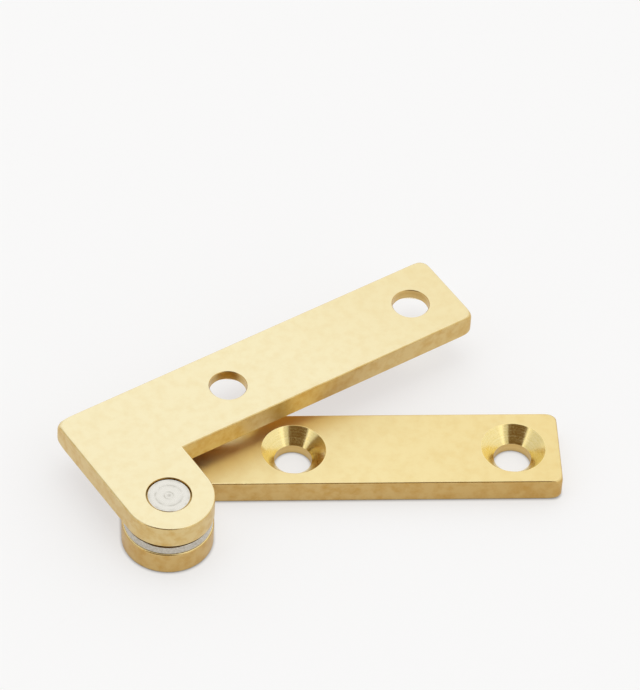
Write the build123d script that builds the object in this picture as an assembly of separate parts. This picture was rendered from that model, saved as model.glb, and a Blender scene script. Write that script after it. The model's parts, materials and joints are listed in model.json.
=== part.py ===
import os

from build123d import *

# Offset knife hinge: two L-shaped brass leaves in parallel planes, a steel pin pressed into the
# lower leaf and a loose steel washer between the bosses. Millimetres, +Z up, +X along the lower arm.
# The origin is on the pin's axis, at the lower leaf's outer face.

# Leaf plan, measured from the pin's axis
arm_width = 12.7
arm_reach = 54.3  # to the arm's far end
arm_offset = 6.45  # to the arm's near edge
boss_radius = 6.25  # round end about the pin, also half of the heel's width
corner_radius = 0.85  # arm end and heel

# Leaf section
leaf_thickness = 3.6
edge_softening = 0.25  # tumbled edges all round the leaf

# Screw holes, on the arm's centre line, countersunk on the inner faces
screw_hole_diameter = 5.2
countersink_diameter = 8.9
countersink_angle = 82
screw_spacing = 30.3
screw_end_margin = 6.4  # outer screw hole to the arm's far end
rim_chamfer = 0.12  # broken edge of every hole

# Pin and washer
pin_diameter = 6.1
pin_chamfer = 0.2
pin_recess = 0.15  # the pin's free end below the upper leaf's outer face
bore_clearance = 0.05  # radial, pin in the upper leaf
washer_diameter = 12.2
washer_thickness = 1.32
washer_chamfer = 0.15  # rolled outer edges
washer_clearance = 0.1  # radial, washer on the pin
seat_clearance = 0.04  # running gap below the washer
end_play = 0.3  # the loose upper leaf rides this far above the washer

# Pose at rest
open_angle = 30.4  # upper leaf about the pin, from closed

# Places that follow from the sizes
pin_radius = pin_diameter / 2
arm_far_edge = arm_offset + arm_width
screw_line = arm_offset + arm_width / 2
outer_screw = arm_reach - screw_end_margin
inner_screw = outer_screw - screw_spacing
leaf_gap = seat_clearance + washer_thickness + end_play
stack_height = 2 * leaf_thickness + leaf_gap


def leaf_outline():
    # Plan of a leaf: the boss's half circle, the heel beside it and the arm.
    heel_corner = (-boss_radius, arm_far_edge)
    inner_corner = (boss_radius, arm_offset)
    end_corners = [(arm_reach, arm_offset), (arm_reach, arm_far_edge)]
    with BuildSketch() as outline:
        with BuildLine():
            ThreePointArc((-boss_radius, 0), (0, -boss_radius), (boss_radius, 0))
            Polyline((boss_radius, 0), inner_corner, *end_corners, heel_corner, (-boss_radius, 0))
        make_face()
        outer = [outline.vertices().sort_by_distance(corner)[0] for corner in (*end_corners, heel_corner)]
        fillet(outer, corner_radius)
    return outline.sketch


def leaf(bore_radius):
    # A leaf as it lies below: outer face at z = 0, inner face and countersinks on top.
    with BuildPart() as part:
        add(leaf_outline())
        extrude(amount=leaf_thickness)
        levels = part.edges().group_by(Axis.Z)
        fillet(levels[0] + levels[-1], edge_softening)
        with Locations((0, 0, leaf_thickness)):
            Hole(bore_radius)
        with Locations(
            (inner_screw, screw_line, leaf_thickness),
            (outer_screw, screw_line, leaf_thickness),
        ):
            CounterSinkHole(
                screw_hole_diameter / 2,
                countersink_diameter / 2,
                counter_sink_angle=countersink_angle,
            )
        faces = part.faces().filter_by(GeomType.PLANE).sort_by(Axis.Z)
        rims = [wire.edge() for face in (faces[0], faces[-1]) for wire in face.inner_wires()]
        chamfer(rims, rim_chamfer)
    return part.part


def lower_leaf():
    return leaf(pin_radius)


def upper_leaf():
    # The lower leaf's mirror image across the middle of the gap, swung open about the pin.
    middle = Plane.XY.offset(leaf_thickness + leaf_gap / 2)
    return Rot(Z=open_angle) * mirror(leaf(pin_radius + bore_clearance), about=middle)


def pivot_pin():
    # Turned pin, flush with the lower leaf's outer face and chamfered at its free end.
    with BuildPart() as part:
        Cylinder(pin_radius, stack_height - pin_recess, align=(Align.CENTER, Align.CENTER, Align.MIN))
        chamfer(part.edges().group_by(Axis.Z)[-1], pin_chamfer)
    return part.part


def thrust_washer():
    # Flat ring that floats between the two inner faces.
    with BuildPart() as part:
        with BuildSketch(Plane.XY.offset(leaf_thickness + seat_clearance)):
            Circle(washer_diameter / 2)
            Circle(pin_radius + washer_clearance, mode=Mode.SUBTRACT)
        extrude(amount=washer_thickness)
        outer_edges = part.edges().filter_by(GeomType.CIRCLE).group_by(SortBy.RADIUS)[-1]
        chamfer(outer_edges, washer_chamfer)
    return part.part


os.makedirs("parts", exist_ok=True)
for make in (lower_leaf, pivot_pin, thrust_washer, upper_leaf):
    export_step(make(), f"parts/{make.__name__}.step")
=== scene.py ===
import json
import math

import bmesh
import bpy
from mathutils import Matrix, Vector


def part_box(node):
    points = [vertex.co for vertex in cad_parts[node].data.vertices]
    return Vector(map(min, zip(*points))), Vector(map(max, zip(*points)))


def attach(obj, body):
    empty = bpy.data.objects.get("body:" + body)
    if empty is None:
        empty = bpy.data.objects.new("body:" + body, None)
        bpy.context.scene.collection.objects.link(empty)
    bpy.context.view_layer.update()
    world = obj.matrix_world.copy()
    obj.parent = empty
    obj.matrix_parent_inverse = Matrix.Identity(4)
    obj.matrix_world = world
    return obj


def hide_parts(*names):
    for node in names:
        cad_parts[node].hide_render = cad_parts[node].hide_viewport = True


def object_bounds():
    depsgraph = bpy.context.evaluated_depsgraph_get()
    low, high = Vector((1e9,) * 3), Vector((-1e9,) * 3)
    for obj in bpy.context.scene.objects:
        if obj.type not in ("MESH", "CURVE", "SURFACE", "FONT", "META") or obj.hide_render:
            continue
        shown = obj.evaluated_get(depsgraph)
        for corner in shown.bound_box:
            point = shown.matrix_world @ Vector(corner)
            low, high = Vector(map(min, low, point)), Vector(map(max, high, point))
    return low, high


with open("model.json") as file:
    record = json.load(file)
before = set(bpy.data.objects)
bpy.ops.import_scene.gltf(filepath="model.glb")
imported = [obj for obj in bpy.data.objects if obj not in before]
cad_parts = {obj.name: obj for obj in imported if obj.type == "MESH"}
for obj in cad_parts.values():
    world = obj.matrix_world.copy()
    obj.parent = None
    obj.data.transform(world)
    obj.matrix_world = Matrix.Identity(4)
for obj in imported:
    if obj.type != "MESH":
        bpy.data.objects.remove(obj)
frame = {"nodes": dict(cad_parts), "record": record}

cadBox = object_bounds()
mm = 0.001
weld = 1e-4  # in millimetres: points this near are one
mounts = {mount["name"]: mount for mount in frame["record"]["mounts"]}
scene = bpy.context.scene
scene.view_settings.view_transform = "Standard"

# Where the CAD nodes lie, in millimetres
leafLow, leafHigh = (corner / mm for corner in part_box("lower_leaf"))
pinLow, pinHigh = (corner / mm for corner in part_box("pivot_pin"))
washerLow, washerHigh = (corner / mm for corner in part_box("thrust_washer"))
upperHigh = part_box("upper_leaf")[1] / mm
pinRadius = pinHigh.x
print("frame loaded:", sorted(frame["nodes"]))


# Small helpers for modelling

def freshStart():
    bpy.ops.object.select_all(action="DESELECT")


def takeUp(piece):
    freshStart()
    piece.select_set(True)
    bpy.context.view_layer.objects.active = piece


def settle(piece, name):  # puts the piece's place, turn and scale into its mesh
    takeUp(piece)
    bpy.ops.object.transform_apply(location=True, rotation=True, scale=True)
    piece.name = piece.data.name = name


def toMetres(piece):  # pieces are modelled in millimetres, where the operators' own tolerances are safe
    piece.scale = (mm, mm, mm)
    settle(piece, piece.name)


def pick(piece, kind, test):  # in edit mode: selects only the edges or faces that pass the test
    bpy.ops.mesh.select_mode(type=kind)
    bpy.ops.mesh.select_all(action="DESELECT")
    shape = bmesh.from_edit_mesh(piece.data)
    for element in shape.edges if kind == "EDGE" else shape.faces:
        if test(element):
            element.select_set(True)
    shape.select_flush_mode()
    bmesh.update_edit_mesh(piece.data)


def near(a, b):
    return abs(a - b) < weld


def isUpright(edge):
    a, b = edge.verts
    return near(a.co.x, b.co.x) and near(a.co.y, b.co.y)


def closeUp():  # merges doubles, fills open ends and points the faces outwards
    bpy.ops.mesh.select_all(action="SELECT")
    bpy.ops.mesh.remove_doubles(threshold=weld)
    bpy.ops.mesh.fill_holes(sides=0)
    bpy.ops.mesh.select_all(action="SELECT")
    bpy.ops.mesh.normals_make_consistent(inside=False)
    bpy.ops.object.mode_set(mode="OBJECT")


def turned(name, profile, steps, material):  # lathe work: a ring carried along radius and height
    freshStart()
    radius, height = profile[0]
    bpy.ops.mesh.primitive_circle_add(vertices=steps, radius=radius, location=(0, 0, height))
    piece = bpy.context.object
    settle(piece, name)
    bpy.ops.object.mode_set(mode="EDIT")
    bpy.ops.mesh.select_mode(type="EDGE")
    bpy.ops.mesh.select_all(action="SELECT")
    for nextRadius, nextHeight in profile[1:]:
        bpy.ops.mesh.extrude_edges_move(TRANSFORM_OT_translate={"value": (0, 0, nextHeight - height)})
        grow = nextRadius / radius
        bpy.ops.transform.resize(value=(grow, grow, 1), center_override=(0, 0, nextHeight))
        radius, height = nextRadius, nextHeight
    closeUp()
    piece.data.materials.append(material)
    return piece


def cut(piece, cutter):  # takes the cutter's shape away and keeps its material on the cut faces
    takeUp(piece)
    carve = piece.modifiers.new("carve", "BOOLEAN")
    carve.operation, carve.solver, carve.material_mode = "DIFFERENCE", "EXACT", "TRANSFER"
    carve.object = cutter
    bpy.ops.object.modifier_apply(modifier=carve.name)


def smooth(piece, angle):
    takeUp(piece)
    bpy.ops.object.shade_smooth_by_angle(angle=math.radians(angle))
    even = piece.modifiers.new("even", "WEIGHTED_NORMAL")
    even.keep_sharp = True
    bpy.ops.object.modifier_apply(modifier=even.name)


# Small helpers for materials

rangeEnds = ("From Min", "From Max", "To Min", "To Max")  # zipped with their values for a Map Range node
rising, falling = (0.0, 1.0), (1.0, 0.0)


def linear(code):  # sRGB hex to linear colour
    parts = [int(code[i:i + 2], 16) / 255 for i in (1, 3, 5)]
    return [p / 12.92 if p <= 0.04045 else ((p + 0.055) / 1.055) ** 2.4 for p in parts] + [1]


def addNode(tree, kind, settings={}, links={}):  # one node with its settings and links
    node = tree.nodes.new(kind)
    for key, value in settings.items():
        if isinstance(key, int) or key in node.inputs:
            node.inputs[key].default_value = value
        else:
            setattr(node, key, value)
    for key, source in links.items():
        tree.links.new(source, node.inputs[key])
    return node


def newMaterial(name):
    material = bpy.data.materials.new(name)
    material.use_nodes = True
    tree = material.node_tree
    tree.nodes.clear()
    shader = addNode(tree, "ShaderNodeBsdfPrincipled")
    addNode(tree, "ShaderNodeOutputMaterial", {}, {"Surface": shader.outputs["BSDF"]})
    return material, tree, shader


def perMm(size):  # noise scale for features of this size in millimetres
    return 1 / (size * mm)


# Leaded brass bar, sawn and tumbled in media: satin faces, burnished edges, duller and mottled sides. The
# faces are paler than the sides, painted light from above, and the upper leaf is paler than the lower one,
# painted shade on the lower leaf under the upper one and near the floor. The upper leaf's covered face is
# deeper, painted shade between the leaves, and the arms' free ends are a little deeper, painted shade. Small
# scattered dings each show a dark side and a bright lip. The fine grain is drawn coarser than it is, so that
# it shows.
tumbled = {
    # Face and side tones for each leaf, with painted light and shade in them; the covered face's tone is
    # painted shade
    "upperFace": "#FAEEC4", "lowerFace": "#FAE8AF", "coveredShade": "#BA8228",
    "upperSide": "#DEC58C", "lowerSide": "#D0B072",
    # How far a surface faces up or down, from 0 to 1, where each look comes in or goes out
    "faceTurn": (0.6, 0.97), "sideTurn": (0.05, 0.35), "edgeTurn": (0.9, 0.995),
    # painted shade towards the arms' free ends
    "endShade": "#FAF5E9", "endReach": (30, 56),
    "cloudTint": "#E9D29A", "cloudSize": 1.5, "cloudRange": (0.42, 0.72), "faceCloud": 0.16, "sideCloud": 0.7,
    "grainSize": 0.28, "grainDepth": 0.004, "grainStrength": 0.6,
    "dingSpacing": 3.6, "dingSize": 0.34, "dingDepth": 0.036, "dingSpared": (0.6, 0.88),  # lower, upper leaf
    "lowerRoughness": (0.36, 0.44), "upperRoughness": (0.3, 0.36), "satinRange": (0.3, 0.7),
    "sideRoughness": 0.38, "edgeRoughness": 0.23,
}


def tumbledBrass():
    material, tree, shader = newMaterial("tumbledBrass")
    place = addNode(tree, "ShaderNodeTexCoord")
    where = addNode(tree, "ShaderNodeSeparateXYZ", {}, {"Vector": place.outputs["Object"]})
    facing = addNode(tree, "ShaderNodeSeparateXYZ", {}, {"Vector": place.outputs["Normal"]})
    upright = addNode(tree, "ShaderNodeMath", {"operation": "ABSOLUTE"}, {0: facing.outputs["Z"]})
    flat = addNode(tree, "ShaderNodeMapRange", dict(zip(rangeEnds, tumbled["faceTurn"])),
                   {"Value": upright.outputs[0]})
    offSide = addNode(tree, "ShaderNodeMapRange", dict(zip(rangeEnds, tumbled["sideTurn"])),
                      {"Value": upright.outputs[0]})
    # The upper leaf lies above the middle of the stack, and its covered face looks down; that face gets a
    # deeper tone, painted shade between the leaves
    upper = addNode(tree, "ShaderNodeMath", {"operation": "GREATER_THAN", 1: cadBox[1].z / 2},
                    {0: where.outputs["Z"]})
    down = addNode(tree, "ShaderNodeMath", {"operation": "LESS_THAN", 1: -0.5}, {0: facing.outputs["Z"]})
    shadedUnderside = addNode(tree, "ShaderNodeMath", {"operation": "MULTIPLY"},
                    {0: upper.outputs[0], 1: down.outputs[0]})
    # Painted light and shade: each leaf has its own face and side tones, the upper paler and the faces paler
    # than the sides
    face = addNode(tree, "ShaderNodeMix",
                   {"data_type": "RGBA", 6: linear(tumbled["lowerFace"]), 7: linear(tumbled["upperFace"])},
                   {0: upper.outputs[0]})
    underShaded = addNode(tree, "ShaderNodeMix", {"data_type": "RGBA", 7: linear(tumbled["coveredShade"])},
                      {0: shadedUnderside.outputs[0], 6: face.outputs[2]})
    side = addNode(tree, "ShaderNodeMix",
                   {"data_type": "RGBA", 6: linear(tumbled["lowerSide"]), 7: linear(tumbled["upperSide"])},
                   {0: upper.outputs[0]})
    tone = addNode(tree, "ShaderNodeMix", {"data_type": "RGBA"},
                   {0: flat.outputs["Result"], 6: side.outputs[2], 7: underShaded.outputs[2]})
    # Painted shade: deeper towards the arms' free ends
    plan = addNode(tree, "ShaderNodeCombineXYZ", {}, {"X": where.outputs["X"], "Y": where.outputs["Y"]})
    reach = addNode(tree, "ShaderNodeVectorMath", {"operation": "LENGTH"}, {0: plan.outputs[0]})
    endward = addNode(tree, "ShaderNodeMapRange",
                      dict(zip(rangeEnds, (away * mm for away in tumbled["endReach"]))),
                      {"Value": reach.outputs["Value"]})
    endShaded = addNode(tree, "ShaderNodeMix",
                    {"data_type": "RGBA", "blend_type": "MULTIPLY", 7: linear(tumbled["endShade"])},
                    {0: endward.outputs["Result"], 6: tone.outputs[2]})
    # Clouds, faint on the faces and stronger on the sides
    cloud = addNode(tree, "ShaderNodeTexNoise",
                    {"Scale": perMm(tumbled["cloudSize"]), "Detail": 4.0, "Roughness": 0.6},
                    {"Vector": place.outputs["Object"]})
    patch = addNode(tree, "ShaderNodeMapRange", dict(zip(rangeEnds, tumbled["cloudRange"])),
                    {"Value": cloud.outputs["Fac"]})
    share = addNode(tree, "ShaderNodeMix",
                    {"data_type": "FLOAT", 2: tumbled["sideCloud"], 3: tumbled["faceCloud"]},
                    {0: flat.outputs["Result"]})
    amount = addNode(tree, "ShaderNodeMath", {"operation": "MULTIPLY"},
                     {0: patch.outputs["Result"], 1: share.outputs[0]})
    clouded = addNode(tree, "ShaderNodeMix",
                      {"data_type": "RGBA", "blend_type": "MULTIPLY", 7: linear(tumbled["cloudTint"])},
                      {0: amount.outputs[0], 6: endShaded.outputs[2]})
    # A ding sits in the middle of some of the cells
    cells = addNode(tree, "ShaderNodeTexVoronoi", {"Scale": perMm(tumbled["dingSpacing"])},
                    {"Vector": place.outputs["Object"]})
    chance = addNode(tree, "ShaderNodeSeparateXYZ", {}, {"Vector": cells.outputs["Color"]})
    sparing = addNode(tree, "ShaderNodeMix",
                      {"data_type": "FLOAT", 2: tumbled["dingSpared"][0], 3: tumbled["dingSpared"][1]},
                      {0: upper.outputs[0]})
    spared = addNode(tree, "ShaderNodeMath", {"operation": "LESS_THAN"},
                     {0: chance.outputs["X"], 1: sparing.outputs[0]})
    bowlReach = tumbled["dingSize"] / tumbled["dingSpacing"]
    bowl = addNode(tree, "ShaderNodeMapRange", {"interpolation_type": "SMOOTHSTEP", "From Max": bowlReach},
                   {"Value": cells.outputs["Distance"]})
    level = addNode(tree, "ShaderNodeMath", {"operation": "MAXIMUM"},
                    {0: bowl.outputs["Result"], 1: spared.outputs[0]})
    dings = addNode(tree, "ShaderNodeBump", {"Strength": 1.0, "Distance": tumbled["dingDepth"] * mm},
                    {"Height": level.outputs[0]})
    grain = addNode(tree, "ShaderNodeTexNoise", {"Scale": perMm(tumbled["grainSize"]), "Detail": 2.0},
                    {"Vector": place.outputs["Object"]})
    fine = addNode(tree, "ShaderNodeBump",
                   {"Strength": tumbled["grainStrength"], "Distance": tumbled["grainDepth"] * mm},
                   {"Height": grain.outputs["Fac"], "Normal": dings.outputs["Normal"]})
    # Satin on the faces, duller on the sides and burnished on the rounded edges between them
    satins = []
    for part in ("lowerRoughness", "upperRoughness"):
        satins.append(addNode(tree, "ShaderNodeMapRange",
                              dict(zip(rangeEnds, tumbled["satinRange"] + tumbled[part])),
                              {"Value": cloud.outputs["Fac"]}))
    satin = addNode(tree, "ShaderNodeMix", {"data_type": "FLOAT"},
                    {0: upper.outputs[0], 2: satins[0].outputs["Result"], 3: satins[1].outputs["Result"]})
    dull = addNode(tree, "ShaderNodeMix", {"data_type": "FLOAT", 2: tumbled["sideRoughness"]},
                   {0: offSide.outputs["Result"], 3: satin.outputs[0]})
    offFace = addNode(tree, "ShaderNodeMapRange", dict(zip(rangeEnds, tumbled["edgeTurn"] + falling)),
                      {"Value": upright.outputs[0]})
    onEdge = addNode(tree, "ShaderNodeMath", {"operation": "MULTIPLY"},
                     {0: offSide.outputs["Result"], 1: offFace.outputs["Result"]})
    gloss = addNode(tree, "ShaderNodeMix", {"data_type": "FLOAT", 3: tumbled["edgeRoughness"]},
                    {0: onEdge.outputs[0], 2: dull.outputs[0]})
    shader.inputs["Metallic"].default_value = 1.0
    tree.links.new(clouded.outputs[2], shader.inputs["Base Color"])
    tree.links.new(gloss.outputs[0], shader.inputs["Roughness"])
    tree.links.new(fine.outputs["Normal"], shader.inputs["Normal"])
    return material


# The same brass in the countersinks, cut by a form tool: bright, with faint uneven rings and a little
# chatter. The rings are drawn coarser than real ones, which would be too fine to show.
sunkLook = {
    "bright": "#FBE9AC", "deep": "#F3DC90",
    "ringPitch": 0.3, "chatter": 0.24, "chatterShare": 0.5, "unevenRange": (0.35, 0.65),
    "ringDepth": 0.006, "ringStrength": 0.8,
    "roughness": (0.12, 0.27), "spread": 0.75,
}


def countersunkBrass():
    material, tree, shader = newMaterial("countersunkBrass")
    place = addNode(tree, "ShaderNodeTexCoord")
    where = addNode(tree, "ShaderNodeSeparateXYZ", {}, {"Vector": place.outputs["Object"]})
    rings = addNode(tree, "ShaderNodeTexNoise",
                    {"noise_dimensions": "1D", "Scale": perMm(sunkLook["ringPitch"]), "Detail": 2.0},
                    {"W": where.outputs["Z"]})
    chatter = addNode(tree, "ShaderNodeTexNoise", {"Scale": perMm(sunkLook["chatter"]), "Detail": 3.0},
                      {"Vector": place.outputs["Object"]})
    uneven = addNode(tree, "ShaderNodeMix", {"data_type": "FLOAT", 0: sunkLook["chatterShare"]},
                     {2: rings.outputs["Fac"], 3: chatter.outputs["Fac"]})
    shown = addNode(tree, "ShaderNodeMapRange", dict(zip(rangeEnds, sunkLook["unevenRange"])),
                    {"Value": uneven.outputs[0]})
    tone = addNode(tree, "ShaderNodeMix",
                   {"data_type": "RGBA", 6: linear(sunkLook["deep"]), 7: linear(sunkLook["bright"])},
                   {0: shown.outputs["Result"]})
    gloss = addNode(tree, "ShaderNodeMapRange", dict(zip(rangeEnds, rising + sunkLook["roughness"])),
                    {"Value": shown.outputs["Result"]})
    grooves = addNode(tree, "ShaderNodeBump",
                      {"Strength": sunkLook["ringStrength"], "Distance": sunkLook["ringDepth"] * mm},
                      {"Height": uneven.outputs[0]})
    upwards = addNode(tree, "ShaderNodeCombineXYZ", {"Z": 1.0})  # the rings spread the shine along the cone
    shader.inputs["Metallic"].default_value = 1.0
    shader.inputs["Anisotropic"].default_value = sunkLook["spread"]
    tree.links.new(upwards.outputs[0], shader.inputs["Tangent"])
    tree.links.new(tone.outputs[2], shader.inputs["Base Color"])
    tree.links.new(gloss.outputs["Result"], shader.inputs["Roughness"])
    tree.links.new(grooves.outputs["Normal"], shader.inputs["Normal"])
    return material


# The same brass on the drilled walls: duller, and deeper as painted shade inside the hole, with the drill's
# uneven rings round the hole, which are drawn coarser than real ones so that they show.
drilledLook = {
    "bright": "#E3C688", "deep": "#C9A45C",
    "ringPitch": 0.5, "ringDepth": 0.008, "ringStrength": 0.5,
    "roughness": (0.24, 0.36),
}


def drilledBrass():
    material, tree, shader = newMaterial("drilledBrass")
    place = addNode(tree, "ShaderNodeTexCoord")
    where = addNode(tree, "ShaderNodeSeparateXYZ", {}, {"Vector": place.outputs["Object"]})
    rings = addNode(tree, "ShaderNodeTexNoise",
                    {"noise_dimensions": "1D", "Scale": perMm(drilledLook["ringPitch"]), "Detail": 3.0},
                    {"W": where.outputs["Z"]})
    tone = addNode(tree, "ShaderNodeMix",
                   {"data_type": "RGBA", 6: linear(drilledLook["deep"]), 7: linear(drilledLook["bright"])},
                   {0: rings.outputs["Fac"]})
    gloss = addNode(tree, "ShaderNodeMapRange", dict(zip(rangeEnds, rising + drilledLook["roughness"])),
                    {"Value": rings.outputs["Fac"]})
    grooves = addNode(tree, "ShaderNodeBump",
                      {"Strength": drilledLook["ringStrength"], "Distance": drilledLook["ringDepth"] * mm},
                      {"Height": rings.outputs["Fac"]})
    shader.inputs["Metallic"].default_value = 1.0
    tree.links.new(tone.outputs[2], shader.inputs["Base Color"])
    tree.links.new(gloss.outputs["Result"], shader.inputs["Roughness"])
    tree.links.new(grooves.outputs["Normal"], shader.inputs["Normal"])
    return material


# Carbon steel rod with a faced end: light grey, with uneven broken rings left by the turning tool on the end
# and fainter, whole ones round the side. They are drawn coarser than real ones, so that they show.
turnedLook = {
    "light": "#EAE7DE", "shade": "#A8A498",
    "ringPitch": 0.4, "ringRange": (0.5, 0.7), "sideRings": 0.4,
    "grain": 0.9, "grainRange": (0.35, 0.65),
    "roughness": (0.26, 0.42),
}


def turnedSteel():
    material, tree, shader = newMaterial("turnedSteel")
    place = addNode(tree, "ShaderNodeTexCoord")
    where = addNode(tree, "ShaderNodeSeparateXYZ", {}, {"Vector": place.outputs["Object"]})
    facing = addNode(tree, "ShaderNodeSeparateXYZ", {}, {"Vector": place.outputs["Normal"]})
    plan = addNode(tree, "ShaderNodeCombineXYZ", {}, {"X": where.outputs["X"], "Y": where.outputs["Y"]})
    radius = addNode(tree, "ShaderNodeVectorMath", {"operation": "LENGTH"}, {0: plan.outputs[0]})
    # The tool's path: in along the end, and down the side
    sunk = addNode(tree, "ShaderNodeMath", {"operation": "SUBTRACT", 1: pinHigh.z * mm},
                   {0: where.outputs["Z"]})
    path = addNode(tree, "ShaderNodeMath", {"operation": "ADD"},
                   {0: radius.outputs["Value"], 1: sunk.outputs[0]})
    rings = addNode(tree, "ShaderNodeTexNoise",
                    {"noise_dimensions": "1D", "Scale": perMm(turnedLook["ringPitch"]), "Detail": 2.0},
                    {"W": path.outputs[0]})
    sharp = addNode(tree, "ShaderNodeMapRange", dict(zip(rangeEnds, turnedLook["ringRange"])),
                    {"Value": rings.outputs["Fac"]})
    grain = addNode(tree, "ShaderNodeTexNoise", {"Scale": perMm(turnedLook["grain"]), "Detail": 3.0},
                    {"Vector": place.outputs["Object"]})
    broken = addNode(tree, "ShaderNodeMapRange", dict(zip(rangeEnds, turnedLook["grainRange"])),
                     {"Value": grain.outputs["Fac"]})
    onEnd = addNode(tree, "ShaderNodeMath", {"operation": "GREATER_THAN", 1: 0.5}, {0: facing.outputs["Z"]})
    depth = addNode(tree, "ShaderNodeMix", {"data_type": "FLOAT", 2: turnedLook["sideRings"]},
                    {0: onEnd.outputs[0], 3: broken.outputs["Result"]})
    blend = addNode(tree, "ShaderNodeMath", {"operation": "MULTIPLY"},
                    {0: sharp.outputs["Result"], 1: depth.outputs[0]})
    tone = addNode(tree, "ShaderNodeMix",
                   {"data_type": "RGBA", 6: linear(turnedLook["light"]), 7: linear(turnedLook["shade"])},
                   {0: blend.outputs[0]})
    gloss = addNode(tree, "ShaderNodeMapRange", dict(zip(rangeEnds, rising + turnedLook["roughness"])),
                    {"Value": blend.outputs[0]})
    shader.inputs["Metallic"].default_value = 1.0
    tree.links.new(tone.outputs[2], shader.inputs["Base Color"])
    tree.links.new(gloss.outputs["Result"], shader.inputs["Roughness"])
    return material


# Washer stamped from cold-rolled steel strip and tumbled: bright grey with a faint speckle of grain round its
# edge, drawn coarser than it is so that it shows.
stampedLook = {"light": "#DCD7CC", "shade": "#989082", "grain": 0.3, "roughness": (0.10, 0.20)}


def stampedSteel():
    material, tree, shader = newMaterial("stampedSteel")
    place = addNode(tree, "ShaderNodeTexCoord")
    grain = addNode(tree, "ShaderNodeTexNoise", {"Scale": perMm(stampedLook["grain"]), "Detail": 3.0},
                    {"Vector": place.outputs["Object"]})
    tone = addNode(tree, "ShaderNodeMix",
                   {"data_type": "RGBA", 6: linear(stampedLook["light"]), 7: linear(stampedLook["shade"])},
                   {0: grain.outputs["Fac"]})
    gloss = addNode(tree, "ShaderNodeMapRange", dict(zip(rangeEnds, rising + stampedLook["roughness"])),
                    {"Value": grain.outputs["Fac"]})
    shader.inputs["Metallic"].default_value = 1.0
    tree.links.new(tone.outputs[2], shader.inputs["Base Color"])
    tree.links.new(gloss.outputs["Result"], shader.inputs["Roughness"])
    return material


leafBrass, sunkBrass, wallBrass = tumbledBrass(), countersunkBrass(), drilledBrass()
pinSteel, washerSteel = turnedSteel(), stampedSteel()
print("materials made")


# The leaf: a bar with a heel and a round boss, softened all round, then drilled
leafShape = {
    "armWidth": 12.7,
    "cornerRadius": 0.85,
    "edgeRounding": 0.28,
    "heelRounding": 2.4,  # radius of the flat's outline at a corner: tumbling rounds the corners more
    "endRounding": 1.7,
    "roundingLines": (0.15, 0.35, 0.6, 0.9, 1.3, 1.8, 2.4),  # from a corner's arc, for it to fade along
    "countersinkWidth": 8.9,
    "countersinkAngle": 82,
    "rimChamfer": 0.08,
    "rimSlope": 0.6,  # depth against width where a countersink's rim is broken
    "boreBreak": 0.04,
    "runningClearance": 0.05,  # radial, upper leaf on the pin
    "bossFacets": 40,  # on each quarter of the boss
    "cornerFacets": 10,
    "edgeFacets": 6,
    "holeFacets": 128,
    "cutterSpare": 1,  # how far a cutter stands out of the leaf
    "smoothAngle": 40,
}


def tumbleCorners(blank, corners):  # a corner's rounding grows until the flat's own outline is a larger arc
    radius, edge = leafShape["cornerRadius"], leafShape["edgeRounding"]
    band = edge + 0.01  # width of the rounded edge, with a little slack
    eighth = math.pi / 4
    arcCentre = Vector((radius, radius))
    shape = bmesh.from_edit_mesh(blank.data)
    for vert in shape.verts:
        rim = leafLow.z if vert.co.z < (leafLow.z + leafHigh.z) / 2 else leafHigh.z
        for (x, y), rounding in corners.items():
            inX, inY = math.copysign(1, -x), -1 if near(y, leafHigh.y) else 1  # towards the leaf's middle
            here = Vector(((vert.co.x - x) * inX, (vert.co.y - y) * inY))
            reach = edge + rounding
            if max(here) > reach or abs(vert.co.z - rim) > band:
                continue
            if max(here) < radius:  # on the corner's arc
                inward = (arcCentre - here).normalized()
                foot = arcCentre - inward * radius
                along = radius * (math.atan2(inward.y, inward.x) - eighth)
            else:  # on the straight beside it
                inward = Vector((0, 1)) if here.x > here.y else Vector((1, 0))
                foot = here - inward * here.dot(inward)
                along = math.copysign(radius * eighth + max(here) - radius, here.x - here.y)
            if (here - foot).length > band:
                continue
            turn = eighth + eighth * along / (radius * eighth + reach - radius)
            flat = Vector((reach - rounding * math.cos(turn), reach - rounding * math.sin(turn)))
            plan = foot + (flat - foot) * ((here - foot).length / edge)
            drop = (vert.co.z - rim) * (flat - foot).dot(inward) / edge
            vert.co = (x + inX * plan.x, y + inY * plan.y, rim + drop)
            break
    bmesh.update_edit_mesh(blank.data)


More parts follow.
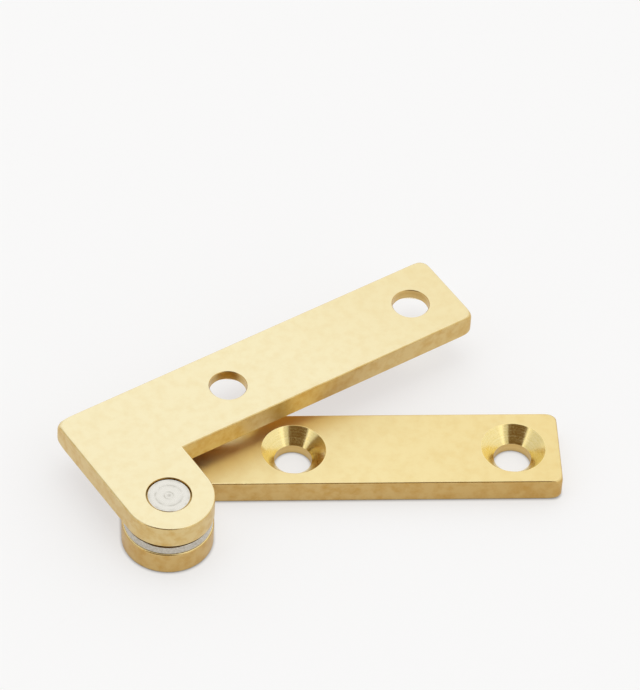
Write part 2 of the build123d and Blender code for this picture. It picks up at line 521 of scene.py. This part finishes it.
def leafBlank():
    boss = -leafLow.x
    armFront = leafHigh.y - leafShape["armWidth"]
    radius, edge = leafShape["cornerRadius"], leafShape["edgeRounding"]
    freshStart()
    centre = ((leafLow.x + leafHigh.x) / 2, (armFront + leafHigh.y) / 2, (leafLow.z + leafHigh.z) / 2)
    bpy.ops.mesh.primitive_cube_add(size=1, location=centre)
    blank = bpy.context.object
    blank.scale = (leafHigh.x - leafLow.x, leafHigh.y - armFront, leafHigh.z - leafLow.z)
    settle(blank, "lowerLeaf")
    bpy.ops.object.mode_set(mode="EDIT")
    bpy.ops.mesh.select_all(action="SELECT")
    bpy.ops.mesh.bisect(plane_co=(boss, 0, 0), plane_no=(1, 0, 0))  # the heel's width
    pick(blank, "FACE", lambda f: f.normal.y < -0.9 and f.calc_center_median().x < boss)
    bpy.ops.mesh.extrude_region_move(TRANSFORM_OT_translate={"value": (0, leafLow.y - armFront, 0)})
    bpy.ops.mesh.select_all(action="SELECT")
    bpy.ops.mesh.dissolve_limited(angle_limit=math.radians(1))
    pick(blank, "EDGE", lambda e: isUpright(e) and near(e.verts[0].co.y, leafLow.y))
    bpy.ops.mesh.bevel(offset=boss, segments=leafShape["bossFacets"], affect="EDGES")
    bpy.ops.mesh.select_all(action="SELECT")
    bpy.ops.mesh.remove_doubles(threshold=weld)
    corners = {(leafLow.x, leafHigh.y): leafShape["heelRounding"],
               (leafHigh.x, leafHigh.y): leafShape["endRounding"],
               (leafHigh.x, armFront): leafShape["endRounding"]}
    pick(blank, "EDGE", lambda e: isUpright(e) and any(
        near(e.verts[0].co.x, x) and near(e.verts[0].co.y, y) for x, y in corners))
    bpy.ops.mesh.bevel(offset=radius, segments=leafShape["cornerFacets"], affect="EDGES")
    # Lines across the sides only, so that the flats stay whole
    for away in leafShape["roundingLines"]:
        shift = radius + away
        for spot, way in (((leafLow.x + shift, 0, 0), (1, 0, 0)), ((leafHigh.x - shift, 0, 0), (1, 0, 0)),
                          ((0, leafHigh.y - shift, 0), (0, 1, 0)), ((0, armFront + shift, 0), (0, 1, 0))):
            pick(blank, "FACE", lambda f: abs(f.normal.z) < 0.1 and abs(f.normal.dot(Vector(way))) < 0.1)
            bpy.ops.mesh.bisect(plane_co=spot, plane_no=way)
    pick(blank, "EDGE", lambda e: not isUpright(e) and any(abs(f.normal.z) < 0.5 for f in e.link_faces))
    bpy.ops.mesh.bevel(offset=edge, segments=leafShape["edgeFacets"], affect="EDGES")
    tumbleCorners(blank, corners)
    closeUp()
    blank.data.materials.append(leafBrass)
    return blank


def holeCutter(radius, rim, sink):  # hole with broken rims; sink is its cone's radius at the inner face
    spare, bottom, top = leafShape["cutterSpare"], leafLow.z, leafHigh.z
    depth = 0
    profile = [(radius + rim, bottom - spare), (radius + rim, bottom), (radius, bottom + rim)]
    if sink > radius:
        depth = (sink - radius) / math.tan(math.radians(leafShape["countersinkAngle"] / 2))
        profile += [(radius, top - depth), (sink - rim / 2, top - rim * leafShape["rimSlope"]),
                    (sink + rim / 2, top), (sink + rim / 2, top + spare)]
    else:
        profile += [(radius, top - rim), (radius + rim, top), (radius + rim, top + spare)]
    cutter = turned("cutter", profile, leafShape["holeFacets"], wallBrass)
    cutter.data.materials.append(sunkBrass)
    bpy.ops.object.mode_set(mode="EDIT")
    pick(cutter, "FACE", lambda f: top - depth < f.calc_center_median().z < top)
    cutter.active_material_index = 1
    bpy.ops.object.material_slot_assign()
    bpy.ops.object.mode_set(mode="OBJECT")
    return cutter


leaf = leafBlank()
screws = mounts["lower_screws"]
for side in (-0.5, 0.5):  # half the spacing each way
    cutter = holeCutter(screws["dims"]["hole_r_mm"], leafShape["rimChamfer"],
                        leafShape["countersinkWidth"] / 2)
    x, y, z = Vector(screws["pos_m"]) / mm
    cutter.location = (x + side * screws["dims"]["spacing_x_mm"], y, z)
    settle(cutter, "cutter")
    cut(leaf, cutter)
    bpy.data.objects.remove(cutter)

# The upper leaf is the lower one's mirror image across the gap, swung about the pin
upperLeaf = leaf.copy()
upperLeaf.data = leaf.data.copy()
scene.collection.objects.link(upperLeaf)
screwRun = Vector(mounts["upper_screw_outer"]["pos_m"]) - Vector(mounts["upper_screw_inner"]["pos_m"])
for piece, radius in ((leaf, pinRadius), (upperLeaf, pinRadius + leafShape["runningClearance"])):
    cutter = holeCutter(radius, leafShape["boreBreak"], 0)
    cut(piece, cutter)
    bpy.data.objects.remove(cutter)
upperLeaf.scale.z = -1
upperLeaf.location.z = leafLow.z + upperHigh.z
upperLeaf.rotation_euler.z = math.atan2(screwRun.y, screwRun.x)
settle(upperLeaf, "upperLeaf")
bpy.ops.object.mode_set(mode="EDIT")
closeUp()
for piece, node in ((leaf, "lower_leaf"), (upperLeaf, "upper_leaf")):
    toMetres(piece)
    smooth(piece, leafShape["smoothAngle"])
    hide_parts(node)
    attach(piece, node)
print("leaves made:", len(leaf.data.polygons), "and", len(upperLeaf.data.polygons), "faces")


# The pin: a straight rod with a broken edge and a few uneven tool rings on its faced end
pinShape = {
    "chamfer": 0.2,
    "rings": [(2.2, 0.08, 0.012), (1.85, 0.12, 0.008), (1.3, 0.1, 0.01),
              (0.85, 0.16, 0.01), (0.35, 0.12, 0.014)],  # each one's radius, width and depth
    "steps": 72,  # from the chamfer to the centre
    "centre": 0.05,
    "facets": 128,
    "smoothAngle": 30,
}


def pivotPin():
    chamfer, top = pinShape["chamfer"], pinHigh.z
    foot = chamfer / 2  # the pressed end is broken less
    faced = pinRadius - chamfer
    profile = [(pinRadius - foot, pinLow.z), (pinRadius, pinLow.z + foot), (pinRadius, top - chamfer)]
    for step in range(pinShape["steps"] + 1):
        radius = faced - (faced - pinShape["centre"]) * step / pinShape["steps"]
        groove = sum(depth * math.exp(-((radius - at) / width) ** 2)
                     for at, width, depth in pinShape["rings"])
        profile.append((radius, top - groove))
    return turned("pivotPin", profile, pinShape["facets"], pinSteel)


pin = pivotPin()
toMetres(pin)
smooth(pin, pinShape["smoothAngle"])
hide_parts("pivot_pin")
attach(pin, "lower_leaf")
print("pin made:", len(pin.data.polygons), "faces")


# The washer: a stamped ring with rolled outer edges and a broken bore
washerShape = {
    "upperRoll": 0.16,
    "lowerRoll": 0.2,
    "rollFacets": 7,
    "clearance": 0.1,  # radial, on the pin
    "broken": 0.1,
    "facets": 128,
    "smoothAngle": 40,
}


def thrustWasher():
    outer, bore = washerHigh.x, pinRadius + washerShape["clearance"]
    low, high, small = washerLow.z, washerHigh.z, washerShape["broken"]
    profile = [(bore + small, low)]
    for roll, height, first in ((washerShape["lowerRoll"], low + washerShape["lowerRoll"], -90),
                                (washerShape["upperRoll"], high - washerShape["upperRoll"], 0)):
        for step in range(washerShape["rollFacets"] + 1):
            turn = math.radians(first + 90 * step / washerShape["rollFacets"])
            profile.append((outer - roll + roll * math.cos(turn), height + roll * math.sin(turn)))
    profile += [(bore + small, high), (bore, high - small), (bore, low + small), profile[0]]
    return turned("thrustWasher", profile, washerShape["facets"], washerSteel)


washer = thrustWasher()
toMetres(washer)
smooth(washer, washerShape["smoothAngle"])
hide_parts("thrust_washer")
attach(washer, "thrust_washer")
print("washer made:", len(washer.data.polygons), "faces")


# Pale paper sweep: matt white. Its own glow, which the eye and the metal see, keeps it even and its shadows
# faint, and the glow is dimmed in a thin line where metal touches it, a painted contact shadow.
floorLook = {
    "size": 6.0,  # in metres
    "paper": "#A3A3A3",
    "glow": 0.597,
    "contactShadow": 0.4,  # width of the dim line
}


def paperFloor():
    freshStart()
    bpy.ops.mesh.primitive_plane_add(size=floorLook["size"], location=(0, 0, leafLow.z * mm))
    floor = bpy.context.object
    settle(floor, "paperFloor")
    material, tree, shader = newMaterial("mattPaper")
    ray = addNode(tree, "ShaderNodeLightPath")
    seen = addNode(tree, "ShaderNodeMath", {"operation": "MAXIMUM"},
                   {0: ray.outputs["Is Camera Ray"], 1: ray.outputs["Is Glossy Ray"]})
    through = addNode(tree, "ShaderNodeMath", {"operation": "MAXIMUM"},
                      {0: seen.outputs[0], 1: ray.outputs["Is Transmission Ray"]})
    # Painted contact shadow: the glow is darkened where metal is near
    contactShadow = addNode(tree, "ShaderNodeAmbientOcclusion", {"Distance": floorLook["contactShadow"] * mm})
    openGlow = addNode(tree, "ShaderNodeMath", {"operation": "MULTIPLY", 1: floorLook["glow"]},
                       {0: contactShadow.outputs["AO"]})
    glow = addNode(tree, "ShaderNodeMath", {"operation": "MULTIPLY"},
                   {0: through.outputs[0], 1: openGlow.outputs[0]})
    shader.inputs["Base Color"].default_value = linear(floorLook["paper"])
    shader.inputs["Roughness"].default_value = 1.0
    shader.inputs["Specular IOR Level"].default_value = 0.0
    shader.inputs["Emission Color"].default_value = (1, 1, 1, 1)
    tree.links.new(glow.outputs[0], shader.inputs["Emission Strength"])
    floor.data.materials.append(material)


paperFloor()
print("floor made")


# Soft studio light: a pale dome round the table with a dim, warm opening half way up on the camera's side, a
# narrow bright panel at each edge of it, a faint shade on the left, and a broad lamp overhead. Each list goes
# round in degrees, from the camera's side to the right, with its strength there. Heights are sines.
light = {
    "pale": "#FFFFFF", "dim": "#6E5634",
    "domeRise": (0.5, 1.0), "domeLevel": (0.965, 1.03),
    "opening": [(-180, 0), (-57, 0), (-53, 1), (18, 1), (22, 0.35), (34, 0.35), (39, 0), (180, 0)],
    "openingFoot": (0.3, 0.42), "openingTop": (0.93, 0.99),
    "panels": [(-180, 0), (-63, 0), (-61, 0.3), (-57, 0.3), (-55, 0),
               (38, 0), (41, 0.25), (49, 0.25), (55, 0), (180, 0)],
    "shade": [(-180, 0), (-130, 0), (-112, 0.22), (-76, 0.22), (-68, 0), (180, 0)],
    "lampPower": 1.8, "lampSize": 0.8, "lampPlace": (-0.05, 0.10, 1.1),  # watts and metres
}


def studioLight():
    world = bpy.data.worlds.new("studioDome")
    world.use_nodes = True
    scene.world = world
    tree = world.node_tree
    tree.nodes.clear()
    place = addNode(tree, "ShaderNodeTexCoord")
    facing = addNode(tree, "ShaderNodeSeparateXYZ", {}, {"Vector": place.outputs["Generated"]})
    toCamera = addNode(tree, "ShaderNodeMath", {"operation": "MULTIPLY", 1: -1.0}, {0: facing.outputs["Y"]})
    angle = addNode(tree, "ShaderNodeMath", {"operation": "ARCTAN2"},
                    {0: facing.outputs["X"], 1: toCamera.outputs[0]})
    turn = addNode(tree, "ShaderNodeMapRange", dict(zip(rangeEnds, (-math.pi, math.pi))),
                   {"Value": angle.outputs[0]})
    ramps = []
    for part in ("opening", "panels", "shade"):
        ramp = addNode(tree, "ShaderNodeValToRGB", {}, {"Fac": turn.outputs["Result"]})
        stops = ramp.color_ramp.elements
        while len(stops) < len(light[part]):
            stops.new(0.5)
        for stop, (degrees, value) in zip(stops, light[part]):
            stop.position, stop.color = degrees / 360 + 0.5, (value, value, value, 1)
        ramps.append(ramp)
    opening, panels, shade = ramps
    foot = addNode(tree, "ShaderNodeMapRange",
                   {"interpolation_type": "SMOOTHSTEP", **dict(zip(rangeEnds, light["openingFoot"]))},
                   {"Value": facing.outputs["Z"]})
    top = addNode(tree, "ShaderNodeMapRange",
                  {"interpolation_type": "SMOOTHSTEP", **dict(zip(rangeEnds, light["openingTop"] + falling))},
                  {"Value": facing.outputs["Z"]})
    between = addNode(tree, "ShaderNodeMath", {"operation": "MULTIPLY"},
                      {0: foot.outputs["Result"], 1: top.outputs["Result"]})
    dimness = addNode(tree, "ShaderNodeMath", {"operation": "MULTIPLY"},
                      {0: opening.outputs["Color"], 1: between.outputs[0]})
    colour = addNode(tree, "ShaderNodeMix",
                     {"data_type": "RGBA", 6: linear(light["pale"]), 7: linear(light["dim"])},
                     {0: dimness.outputs[0]})
    height = addNode(tree, "ShaderNodeMapRange", dict(zip(rangeEnds, light["domeRise"] + light["domeLevel"])),
                     {"Value": facing.outputs["Z"]})
    raised = addNode(tree, "ShaderNodeMath", {"operation": "ADD"},
                     {0: height.outputs["Result"], 1: panels.outputs["Color"]})
    level = addNode(tree, "ShaderNodeMath", {"operation": "SUBTRACT"},
                    {0: raised.outputs[0], 1: shade.outputs["Color"]})
    dome = addNode(tree, "ShaderNodeBackground", {},
                   {"Color": colour.outputs[2], "Strength": level.outputs[0]})
    addNode(tree, "ShaderNodeOutputWorld", {}, {"Surface": dome.outputs["Background"]})
    freshStart()
    bpy.ops.object.light_add(type="AREA", location=light["lampPlace"])
    lamp = bpy.context.object
    lamp.name = "overheadLamp"
    lamp.data.shape, lamp.data.size, lamp.data.energy = "DISK", light["lampSize"], light["lampPower"]
    lamp.rotation_euler = (-lamp.location).to_track_quat("-Z", "Y").to_euler()
    lamp.visible_glossy = False  # gives the soft shadow and no hot line along the edges


studioLight()
print("light made")


# The camera stands where the photograph was taken: a long lens, turned a little about its own axis
photoView = {
    "aim": (22.557, 35.782, 0.0), "distance": 675.785,
    "azimuth": -5.630, "elevation": 46.583, "roll": 3.731,
    "lens": 249.947, "sensor": 36, "clip": (10, 20000),
}


def photoCamera():
    azimuth, elevation, roll = (math.radians(photoView[k]) for k in ("azimuth", "elevation", "roll"))
    turn = (Matrix.Rotation(azimuth, 4, "Z") @ Matrix.Rotation(math.pi / 2 - elevation, 4, "X")
            @ Matrix.Rotation(roll, 4, "Z"))
    freshStart()
    bpy.ops.object.camera_add()
    camera = bpy.context.object
    camera.name = "photoCamera"
    back = turn @ Vector((0, 0, photoView["distance"] * mm))
    camera.matrix_world = Matrix.Translation(Vector(photoView["aim"]) * mm + back) @ turn
    camera.data.lens, camera.data.sensor_width = photoView["lens"], photoView["sensor"]
    camera.data.clip_start, camera.data.clip_end = (end * mm for end in photoView["clip"])
    scene.camera = camera


photoCamera()
print("camera placed")
